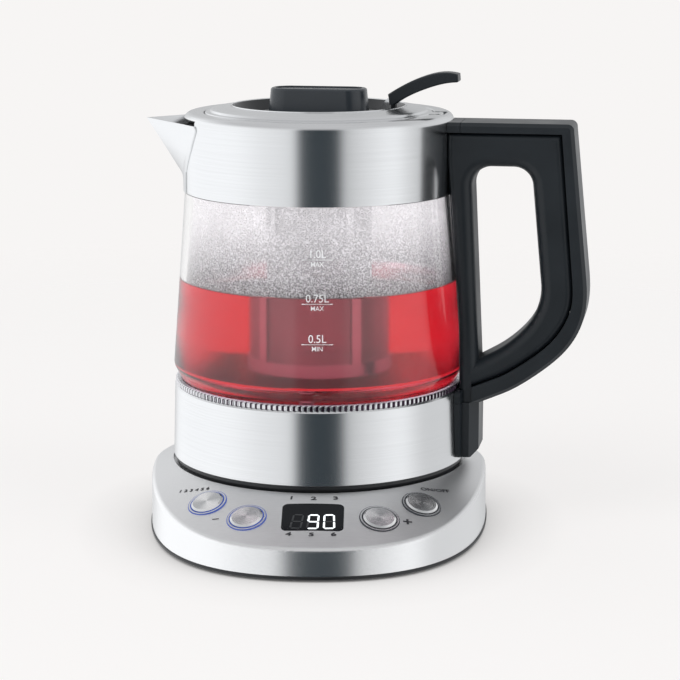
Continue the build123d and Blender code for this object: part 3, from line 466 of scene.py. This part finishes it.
def moulded(name, colour, roughness, grain=3500.0, relief=0.06, **values):
    """Moulded plastic: a fine grain in the relief and slight clouds in the sheen."""
    plastic = Finish(name, colour, roughness=roughness, **values)
    fine = plastic.noise(plastic.place, grain, 2.0)
    broad = plastic.noise(plastic.place, 45.0, 3.0)
    plastic.feed("Roughness", plastic.spread(broad, roughness - 0.05, roughness + 0.06, 0.3, 0.7))
    light = tuple(c * 1.18 + 0.001 for c in colour)
    dark = tuple(c * 0.86 for c in colour)
    plastic.colour(plastic.blend(plastic.spread(broad, 0, 1, 0.3, 0.7), dark, light))
    plastic.bump(fine, relief, 0.0001)
    return plastic


# --- Operators ------------------------------------------------------------------------


class TEAMAKER_OT_camera(bpy.types.Operator):
    """Sets up the camera"""

    bl_idname = "teamaker.camera"
    bl_label = "Camera"

    def execute(self, context):
        lens = bpy.data.cameras.new("camera")
        lens.lens = FOCAL_LENGTH
        lens.sensor_width = SENSOR_WIDTH
        lens.sensor_fit = "HORIZONTAL"
        lens.clip_end = 50.0
        camera = bpy.data.objects.new("camera", lens)
        camera.location = CAMERA_PLACE
        camera.rotation_euler = (math.radians(90 - CAMERA_FALL), 0.0, math.radians(CAMERA_TURN))
        context.scene.collection.objects.link(camera)
        context.scene.camera = camera
        return {"FINISHED"}


class TEAMAKER_OT_studio(bpy.types.Operator):
    """Makes the floor, the studio's surroundings and the lamps"""

    bl_idname = "teamaker.studio"
    bl_label = "Studio"

    def execute(self, context):
        settings = context.scene.teamaker_studio
        context.scene.view_settings.view_transform = "Standard"
        self.floor(settings)
        self.surroundings(context, settings)
        for lamp in LAMPS:
            self.lamp(*lamp)
        return {"FINISHED"}

    def floor(self, settings):
        """A disc whose rings of points lie at r cos a, r sin a. Its rim fades into the background."""
        sectors = 64
        rings = np.array([0.0, 0.2, 0.4, 0.6, 0.75, 1.0]) * settings.floor_radius
        angle = np.linspace(0, 2 * np.pi, sectors, endpoint=False)
        points = [[0, 0, 0]] + [[r * math.cos(a), r * math.sin(a), 0] for r in rings[1:] for a in angle]
        faces = [[0, 1 + i, 1 + (i + 1) % sectors] for i in range(sectors)]
        faces += grid_faces(len(rings) - 1, sectors, close_columns=True, start=1)[:, ::-1].tolist()
        mesh = bpy.data.meshes.new("floor")
        mesh.from_pydata(points, [], faces)
        floor = bpy.data.objects.new("floor", mesh)
        floor.location = (0.0, 0.0, -0.0002)
        bpy.context.scene.collection.objects.link(floor)
        paper = Finish("floor_paper", FLOOR_PAPER, roughness=1.0, specular_ior_level=0.0)
        paper.glow(settings.background)
        # Close to the object the floor's own light gives way to a soft contact shadow.
        shade = paper.node("ShaderNodeAmbientOcclusion", samples=8)
        shade.inputs["Distance"].default_value = SHADOW_REACH
        lit = paper.maths("POWER", shade.outputs["AO"], SHADOW_POWER)
        paper.feed("Emission Strength", paper.maths("MULTIPLY", lit, settings.floor_light))
        fade = (settings.floor_radius * 0.55, settings.floor_radius * 0.95)
        solid = paper.spread(paper.vector("LENGTH", paper.place), 1.0, 0.0, *fade)
        rays = paper.node("ShaderNodeLightPath")
        solid = paper.maths("MULTIPLY", solid, paper.maths("SUBTRACT", 1.0, rays.outputs["Is Glossy Ray"]))
        paper.feed("Alpha", solid)
        mesh.materials.append(paper.material)

    def surroundings(self, context, settings):
        """Bright panels to both sides and a dark gap behind the camera, as a grey by compass direction."""
        world = bpy.data.worlds.new("studio")
        context.scene.world = world
        world.use_nodes = True
        sky = Nodes(world.node_tree)
        direction = sky.split(sky.node("ShaderNodeTexCoord").outputs["Generated"])
        # The compass angle runs from -180 to 180 degrees, with 0 towards the viewer and 90 to the right.
        compass = sky.maths("ARCTAN2", direction["X"], sky.maths("MULTIPLY", direction["Y"], -1.0))
        ramp = sky.node("ShaderNodeValToRGB")
        sky.link(sky.spread(compass, 0.0, 1.0, -math.pi, math.pi), ramp.inputs["Fac"])
        elements = ramp.color_ramp.elements
        for degrees, _ in COMPASS[1:-1]:
            elements.new((degrees + 180) / 360)
        for element, (degrees, grey) in zip(elements, COMPASS):
            element.position = (degrees + 180) / 360
            tint = DARK_TINT if grey < DARK_GREY else PALE_TINT
            element.color = (*(grey * share for share in tint), 1.0)
        # Overhead the panels give way to an even pale ceiling.
        overhead = sky.blend(sky.spread(direction["Z"], 0.0, 1.0, 0.35, 0.75), ramp.outputs["Color"], CEILING)
        # What the camera sees, directly or through the glass, is the plain background.
        rays = sky.node("ShaderNodeLightPath")
        seen = sky.maths("MAXIMUM", rays.outputs["Is Camera Ray"], rays.outputs["Is Transmission Ray"])
        shown = sky.blend(seen, overhead, tuple(settings.background))
        sky.link(shown, sky.tree.nodes["Background"].inputs["Color"])

    def lamp(self, name, place, size, power):
        """A square lamp that looks at the object and that the steel doesn't mirror."""
        light = bpy.data.lights.new(name, "AREA")
        light.size = size
        light.energy = power
        lamp = bpy.data.objects.new(name, light)
        lamp.location = place
        x, y, z = np.array(LAMP_TARGET) - np.array(place)
        lamp.rotation_euler = (math.atan2(math.hypot(x, y), -z), 0.0, math.atan2(y, x) - math.pi / 2)
        lamp.visible_glossy = False
        bpy.context.scene.collection.objects.link(lamp)


class TEAMAKER_OT_steel(bpy.types.Operator):
    """Brushes the steel of the jug and the base"""

    bl_idname = "teamaker.steel"
    bl_label = "Steel"

    def execute(self, context):
        settings = context.scene.teamaker_steel
        jug_colour, base_colour = tuple(settings.jug_colour), tuple(settings.base_colour)
        spun = brushed_steel("jug_steel", jug_colour, settings.roughness, spun=True)
        paint(spun, "upper_collar", "mouth_seat", "lower_band", "lid_ring")
        paint(brushed_steel("spout_steel", jug_colour, settings.roughness), "pouring_spout")
        base = brushed_steel("base_steel", base_colour, settings.roughness + 0.06, (14, 2400, 2400))
        # The cone-shaped top is rougher than the wall.
        rise = base.split(base.node("ShaderNodeNewGeometry").outputs["Normal"])["Z"]
        base.feed("Roughness", base.spread(rise, settings.roughness + 0.04, 0.42, 0.45, 0.9))
        paint(base, "base_shell")
        chrome = Finish("polished_trim", (0.82, 0.83, 0.84), metallic=1.0, roughness=0.06)
        chrome.wander(80.0, 0.04, 0.12, 3.0, 0.3, 0.7)
        paint(chrome, "dish_bezel", "lever_bracket", "toothed_trim_ring")
        inner = brushed_steel("inner_steel", (0.62, 0.62, 0.62), 0.3, (200, 200, 200))
        paint(inner, "heater_plate", "heating_element", "temperature_sensor", "basket_frame",
              "basket_bottom")
        plated = Finish("plated_screws", (0.7, 0.7, 0.7), metallic=1.0, roughness=0.25)
        plated.wander(600.0, 0.18, 0.34)
        paint(plated, "base_screws", "handle_screws", "hinge_bracket", "hinge_pin")
        cast = Finish("cast_aluminium", (0.75, 0.75, 0.75), metallic=1.0, roughness=0.45)
        cast.bump(cast.noise(cast.place, 900.0), 0.2)
        paint(cast, "heat_spreader")
        brass = Finish("contact_brass", (0.78, 0.60, 0.28), metallic=1.0, roughness=0.25)
        brass.wander(500.0, 0.2, 0.35)
        paint(brass, "socket_contacts")
        return {"FINISHED"}


class TEAMAKER_OT_plastics(bpy.types.Operator):
    """Gives the black, soft and hidden plastics their grain and sheen"""

    bl_idname = "teamaker.plastics"
    bl_label = "Plastics"

    def execute(self, context):
        paint(moulded("handle_plastic", (0.012, 0.016, 0.020), 0.32, specular_ior_level=0.4),
              "handle_frame", "strap_cover", "hinge_cap", "lid_lever")
        paint(moulded("soft_grip", (0.010, 0.014, 0.018), 0.42, 2600.0, 0.08, specular_ior_level=0.4),
              "handle_grip")
        paint(moulded("knob_plastic", (0.035, 0.042, 0.05), 0.25), "filter_knob")
        paint(moulded("foot_plastic", (0.012, 0.013, 0.015), 0.4), "base_plate", "base_chassis", "jug_foot",
              "power_socket", "jug_plug", "lid_liner", "panel_frame", "safety_cutout")
        paint(moulded("dish_plastic", (0.012, 0.014, 0.017), 0.3), "lid_dish", "filter_cap")
        paint(moulded("pad_rubber", (0.03, 0.03, 0.03), 0.8, 1500.0, 0.3), "base_feet", "cord_gland")
        paint(moulded("silicone", (0.45, 0.45, 0.43), 0.5), "floor_gasket", "collar_gasket", "lid_seal")
        paint(moulded("board_lacquer", (0.02, 0.14, 0.06), 0.3), "control_board")
        paint(moulded("component_plastic", (0.05, 0.05, 0.055), 0.45), "power_relay", "button_switches",
              "display_module")
        return {"FINISHED"}


class TEAMAKER_OT_glass(bpy.types.Operator):
    """Makes the clear glass and the moisture inside it"""

    bl_idname = "teamaker.glass"
    bl_label = "Glass"

    def execute(self, context):
        glass = Finish("clear_glass", (0.97, 0.975, 0.98), roughness=0.0, transmission_weight=1.0, ior=1.45)
        paint(glass, "glass_jug")
        self.mist(context.scene.teamaker_tea)
        return {"FINISHED"}

    def mist(self, tea):
        """A film just inside the glass from the tea up to the collar: r follows the wall at each height."""
        rows, gap, thick = 28, 0.12, 0.06
        z = np.linspace(tea.level + 0.3, tea.mist_top, rows)
        outer = inner_glass(z) - gap
        radii, heights = np.concatenate([outer, outer[::-1] - thick]), np.concatenate([z, z[::-1]])
        film = mesh_object("moisture_film", *lathe(np.column_stack([radii, heights])), "jug")
        mist = Finish("moisture", (0.8, 0.8, 0.82), roughness=0.5, ior=1.33, specular_ior_level=0.2)
        # Dense droplets just above the tea thin out to a veil 30 mm higher, which the painted glow makes
        # pale.
        height = mist.split(mist.place)["Z"]
        rise = mist.spread(height, 0.0, 1.0, (tea.level + 1) * MM, (tea.level + 31) * MM)
        drops_and_glints = mist.spread(mist.noise(mist.place, 1350.0, 3.0, 0.6), -1.0, 1.0, 0.36, 0.64)
        clumps = mist.spread(mist.noise(mist.place, 70.0, 2.0), -0.08, 0.08, 0.3, 0.7)
        cover = mist.maths("ADD", mist.spread(rise, 0.60, 0.36), clumps)
        cover = mist.maths("ADD", cover, mist.maths("MULTIPLY", drops_and_glints, mist.spread(rise, 0.22, 0.05)))
        mist.feed("Alpha", cover)
        # Painted shade and painted glints: the droplets' dark and light specks stand in for their refraction.
        mist.colour(mist.blend(mist.spread(drops_and_glints, 0, 1, -0.7, 0.7), (0.24, 0.225, 0.24), (0.80, 0.78, 0.81)))
        # Painted light: the film glows, faintly just above the tea and more strongly towards its top.
        mist.glow((0.98, 0.94, 0.97))
        mist.feed("Emission Strength", mist.spread(rise, 0.05, 0.66))
        paint(mist, film)


class TEAMAKER_OT_tea(bpy.types.Operator):
    """Fills the jug with tea"""

    bl_idname = "teamaker.tea"
    bl_label = "Tea"

    def execute(self, context):
        tea = context.scene.teamaker_tea
        # The tea reaches a little into the glass, so that no air shows between them.
        soak = 0.3
        z = np.array([PLATE_RIM_TOP, 69.6, 72.0, 76.5, 90.0, 105.0, tea.level - 0.5])
        wall = np.column_stack([inner_glass(z) + soak, z])
        rim = inner_glass(tea.level) + soak
        # Inwards and down from the line where the tea meets the glass
        meniscus = ((0.0, 0.0), (1.0, 0.35), (2.6, 0.5))
        profile = [(0.01, FLOOR_TOP), (PLATE_RIM_RADIUS, FLOOR_TOP), (PLATE_RIM_RADIUS, PLATE_RIM_TOP),
                   *wall.tolist(), *((rim - inwards, tea.level - down) for inwards, down in meniscus),
                   (0.01, tea.level - 0.5)]
        liquid = mesh_object("tea", *lathe(profile), "jug")
        brew = Finish("tea", (1.0, 1.0, 1.0), roughness=0.16, transmission_weight=1.0, ior=1.33)
        # Painted shade: from 90 mm down to 74 mm the tea's colour turns darker and pinker.
        rise = brew.spread(brew.split(brew.place)["Z"], 0.0, 1.0, 74 * MM, 90 * MM)
        brew.colour(brew.blend(rise, (0.92, 0.60, 0.78), (1.0, 0.93, 0.96)))
        depth = brew.node("ShaderNodeVolumeAbsorption")
        depth.inputs["Color"].default_value = (*tea.depth_colour, 1.0)
        # The polished panel below mirrors the jug without the tea's colour.
        rays = brew.node("ShaderNodeLightPath")
        direct = brew.maths("SUBTRACT", 1.0, brew.maths("MINIMUM", rays.outputs["Glossy Depth"], 1.0))
        brew.link(brew.maths("MULTIPLY", direct, tea.strength), depth.inputs["Density"])
        brew.link(depth.outputs["Volume"], brew.tree.nodes["Material Output"].inputs["Volume"])
        paint(brew, liquid)
        return {"FINISHED"}


class TEAMAKER_OT_basket(bpy.types.Operator):
    """Weaves the mesh of the tea basket"""

    bl_idname = "teamaker.basket"
    bl_label = "Basket mesh"

    def execute(self, context):
        weave = Finish("basket_weave", (0.55, 0.55, 0.55), metallic=1.0, roughness=0.35)
        wires, pitch = 180.0, 0.9 * MM      # wires round the basket, and their spacing up it
        place = weave.split(weave.place)
        angle = weave.maths("ARCTAN2", place["Y"], place["X"])
        around = weave.maths("SINE", weave.maths("MULTIPLY", angle, wires))
        along = weave.maths("SINE", weave.maths("MULTIPLY", place["Z"], 2 * math.pi / pitch))
        wire = weave.maths("MAXIMUM", around, along)
        weave.feed("Alpha", weave.spread(wire, 0.15, 1.0, 0.2, 0.6))
        weave.bump(wire, 0.4, 0.0002)
        paint(weave, "basket_mesh")
        return {"FINISHED"}


class TEAMAKER_OT_buttons(bpy.types.Operator):
    """Spins the faces of the buttons and lights their rings"""

    bl_idname = "teamaker.buttons"
    bl_label = "Buttons"

    def execute(self, context):
        settings = context.scene.teamaker_panel
        for name, place in BUTTON_PLACES.items():
            origin, across, up = button_frame(place)
            spun = Finish(f"spun_{name}", (0.80, 0.80, 0.80), metallic=1.0, roughness=0.22)
            offset, distance = spun.measured_from(origin)
            rings = spun.node("ShaderNodeTexNoise", noise_dimensions="1D")
            spun.link(distance, rings.inputs["W"])
            rings.inputs["Scale"].default_value = 2600.0
            rings.inputs["Detail"].default_value = 3.0
            spun.bump(rings.outputs["Fac"], 0.2, 0.0001)
            # A turned face shows two bright and two dark spokes of light, painted into its colour as painted
            # highlights and painted shade.
            side = spun.vector("DOT_PRODUCT", offset, tuple(across))
            rise = spun.vector("DOT_PRODUCT", offset, tuple(up))
            angle = spun.maths("ADD", spun.maths("ARCTAN2", rise, side), 0.5)
            spoke_highlight = spun.maths("COSINE", spun.maths("MULTIPLY", angle, 2.0))
            spun.colour(spun.blend(spun.spread(spoke_highlight, 0, 1, -0.8, 0.9), (0.62, 0.63, 0.64), (1.0, 1.0, 1.0)))
            spun.feed("Roughness", spun.spread(rings.outputs["Fac"], 0.16, 0.3, 0.3, 0.7))
            paint(spun, f"{name}_button")
            self.ring(settings, name, origin, name in LIT_RINGS)
        return {"FINISHED"}

    def ring(self, settings, name, origin, lit):
        """A chrome ring between two thin dark lines, which glow where the ring is lit."""
        chrome = (0.78, 0.79, 0.80)
        ring = Finish(f"ring_{name}", chrome, metallic=1.0, roughness=0.2)
        _, distance = ring.measured_from(origin)
        outer = ring.spread(distance, 0.0, 1.0, 8.70 * MM, 8.78 * MM)
        inner = ring.spread(distance, 1.0, 0.0, 8.02 * MM, 8.10 * MM)
        line = ring.maths("MAXIMUM", outer, inner)
        ring.colour(ring.blend(line, chrome, (0.02, 0.025, 0.035)))
        ring.feed("Metallic", ring.maths("SUBTRACT", 1.0, line))
        ring.wander(700.0, 0.18, 0.3)
        if lit:
            ring.glow(settings.glow)
            ring.feed("Emission Strength", ring.maths("MULTIPLY", line, settings.glow_strength))
        paint(ring, f"{name}_light_ring")


class TEAMAKER_OT_display(bpy.types.Operator):
    """Glazes the display and lights its digits"""

    bl_idname = "teamaker.display"
    bl_label = "Display"
    segments = {"0": "abcdef", "1": "bc", "2": "abdeg", "3": "abcdg", "4": "bcfg", "5": "acdfg",
                "6": "acdefg", "7": "abc", "8": "abcdefg", "9": "abcdfg", " ": ""}
    centres = (-6.9, 0.3, 7.4)

    def execute(self, context):
        settings = context.scene.teamaker_panel
        window = moulded("display_window", (0.005, 0.006, 0.008), 0.12, 4000.0, 0.0, specular_ior_level=0.2)
        paint(window, "display_window")
        lit, unlit = [], []
        reading = settings.reading.rjust(3)[-3:]
        for digit, centre in zip(reading, self.centres):
            for letter in "abcdefg":
                bar = self.bar(letter, centre)
                (lit if letter in self.segments[digit] else unlit).append(bar)
        glowing = Finish("lit_digits", (0.9, 0.93, 0.95), roughness=0.4, emission_strength=1.0)
        glowing.glow((0.86, 0.92, 0.95))
        glowing.wander(900.0, 0.35, 0.5)
        piece = mesh_object("lit_digits", *joined(lit), "power_base", smooth=False)
        paint(glowing, piece)
        faint = moulded("unlit_digits", (0.035, 0.037, 0.04), 0.3)
        piece = mesh_object("unlit_digits", *joined(unlit), "power_base", smooth=False)
        paint(faint, piece)
        return {"FINISHED"}

    def bar(self, letter, centre):
        """One segment: a six-cornered bar of a leaning figure, whose bars' middle lines are 4.4 wide and
        9.4 high on the slope."""
        half_wide, half_high, thick, gap, lean = 2.2, 4.7, 0.42, 0.2, 0.06
        x, y, flat = {
            "a": (0, half_high, True), "g": (0, 0, True), "d": (0, -half_high, True),
            "b": (half_wide, half_high / 2, False), "c": (half_wide, -half_high / 2, False),
            "f": (-half_wide, half_high / 2, False), "e": (-half_wide, -half_high / 2, False),
        }[letter]
        long = (half_wide if flat else half_high / 2) - gap
        bar = np.array([(-long, 0), (-long + thick, thick), (long - thick, thick), (long, 0),
                        (long - thick, -thick), (-long + thick, -thick)])
        outline = (bar[::-1] if flat else bar[:, ::-1]) + (x, y)
        outline[:, 0] += lean * outline[:, 1] + centre
        points, faces = slab(outline, 0.04)
        return on_cone(points, DISPLAY_RADIUS), faces


class TEAMAKER_OT_lettering(bpy.types.Operator):
    """Prints the panel's numerals and signs and the jug's volume marks"""

    bl_idname = "teamaker.lettering"
    bl_label = "Lettering"

    def execute(self, context):
        size = context.scene.teamaker_panel.print_size
        printed = []

        def put(piece, radius, degrees=0.0, turn=0.0, shift=0.0):
            points, faces = piece
            points = turned_flat(points, turn) + (shift, 0, PRINT_LIFT)
            printed.append((on_cone(points, radius, degrees), faces))

        put(text_points("1 2 3 4 5 6", size * 0.95, 1.3), 78.6, -45.2, 30)
        put(text_points("ON/OFF", size * 1.05, 1.3), 77.4, 45.2, -27)
        put(text_points("+", size * 2.5, 1.1), 93.7, 26.8, -21)
        put(dash(1.5, 0.26), 92.9, -28.1, 24)
        for numerals, radius, places in (("123", 74.2, (-10.1, 0.0, 9.9)), ("456", 97.9, (-10.3, -0.2, 9.6))):
            for numeral, place in zip(numerals, places):
                put(text_points(numeral, size * 1.1, 1.6, bold=0.03), radius, shift=place)
        ink = moulded("panel_print", (0.03, 0.03, 0.035), 0.5)
        piece = mesh_object("panel_print", *joined(printed), "power_base", smooth=False)
        paint(ink, piece)

        marks = []
        for words, height, size in (
            ("1.0L", 138.0, 5.1), ("MAX", 133.5, 3.0), ("0.75L", 118.2, 5.1), ("MAX", 113.8, 3.0),
            ("0.5L", 100.1, 5.1), ("MIN", 95.7, 3.0),
        ):
            marks.append(self.on_glass(text_points(words, size, 0.92, bold=0.004), height))
        for height in (135.5, 115.8, 97.7):
            marks.append(self.on_glass(dash(6.9, 0.2), height))
        white = moulded("glass_print", (0.86, 0.87, 0.88), 0.5)
        piece = mesh_object("volume_marks", *joined(marks), "jug", smooth=False)
        paint(white, piece)
        return {"FINISHED"}

    def on_glass(self, piece, height):
        """Lays a flat piece round the tapered glass: x becomes an arc, and z the height."""
        arc_radius, shift, proud = 66.0, 1.45, 0.05
        flat, faces = piece
        z = height + flat[:, 1]
        r = GLASS_TOP_RADIUS + GLASS_TAPER * (COLLAR_BOTTOM - z) + proud + flat[:, 2]
        angle = -np.pi / 2 + shift / arc_radius + flat[:, 0] / arc_radius
        return np.stack([r * np.cos(angle), r * np.sin(angle), z], -1), faces


class TEAMAKER_OT_trim_teeth(bpy.types.Operator):
    """Cuts the teeth of the trim ring under the glass"""

    bl_idname = "teamaker.trim_teeth"
    bl_label = "Trim teeth"

    def execute(self, context):
        steps = 6       # columns of the mesh to a tooth and its gap
        columns = TOOTH_COUNT * steps
        profile = [(66.3, 67.05), (68.25, 67.05), (68.35, 67.3), (68.35, 69.1), (68.0, 69.55), (66.3, 69.6)]
        points, faces = lathe(profile, columns)
        grid = points.reshape(len(profile), columns, 3)
        tooth = np.arange(columns) % steps < steps / 2
        grid[2:4, :, :2] *= (1 + TOOTH_REACH * tooth)[None, :, None]
        ring = mesh_object("trim_teeth", grid.reshape(-1, 3), faces, "jug", smooth=False)
        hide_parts("toothed_trim_ring")
        steel = Finish("toothed_steel", (0.75, 0.75, 0.76), metallic=1.0, roughness=0.25)
        place = steel.split(steel.place)
        angle = steel.maths("ARCTAN2", place["Y"], place["X"])
        angle = steel.maths("ADD", angle, -math.pi / (2 * TOOTH_COUNT))
        step = steel.maths("SINE", steel.maths("MULTIPLY", angle, float(TOOTH_COUNT)))
        # Painted shade: on the ring's outside the gaps between the teeth are painted nearly black.
        radius = steel.vector("LENGTH", steel.level(steel.place))
        outside = steel.spread(radius, 0.0, 1.0, 68.1 * MM, 68.3 * MM)
        gap = steel.maths("MULTIPLY", steel.spread(step, 1.0, 0.0, -0.2, 0.2), outside)
        steel.colour(steel.blend(gap, (0.86, 0.86, 0.88), (0.05, 0.03, 0.05)))
        steel.wander(500.0, 0.2, 0.35)
        paint(steel, ring)
        return {"FINISHED"}


# --- Panel and registration --------------------------------------------------------------

ORDER = ("camera", "studio", "steel", "plastics", "glass", "tea", "basket", "buttons", "display",
         "lettering", "trim_teeth")


class TEAMAKER_PT_panel(bpy.types.Panel):
    """Lists the tea maker's settings and its makers"""

    bl_idname = "TEAMAKER_PT_panel"
    bl_label = "Tea maker"
    bl_space_type = "VIEW_3D"
    bl_region_type = "UI"
    bl_category = "Tea maker"

    def draw(self, context):
        for settings in (context.scene.teamaker_tea, context.scene.teamaker_steel,
                         context.scene.teamaker_panel, context.scene.teamaker_studio):
            box = self.layout.box()
            for name in settings.bl_rna.properties.keys():
                if name not in ("rna_type", "name"):
                    box.prop(settings, name)
        for name in ORDER:
            self.layout.operator(f"teamaker.{name}")


SETTINGS = {"teamaker_tea": TeaSettings, "teamaker_steel": SteelSettings, "teamaker_panel": PanelSettings,
            "teamaker_studio": StudioSettings}
CLASSES = (
    *SETTINGS.values(), TEAMAKER_OT_camera, TEAMAKER_OT_studio, TEAMAKER_OT_steel, TEAMAKER_OT_plastics,
    TEAMAKER_OT_glass, TEAMAKER_OT_tea, TEAMAKER_OT_basket, TEAMAKER_OT_buttons, TEAMAKER_OT_display,
    TEAMAKER_OT_lettering, TEAMAKER_OT_trim_teeth, TEAMAKER_PT_panel,
)


def register():
    for cls in CLASSES:
        bpy.utils.register_class(cls)
    for name, group in SETTINGS.items():
        setattr(bpy.types.Scene, name, bpy.props.PointerProperty(type=group))


def unregister():
    for name in SETTINGS:
        delattr(bpy.types.Scene, name)
    for cls in reversed(CLASSES):
        bpy.utils.unregister_class(cls)


def main():
    register()
    for name in ORDER:
        getattr(bpy.ops.teamaker, name)()


if __name__ == "__main__":
    main()
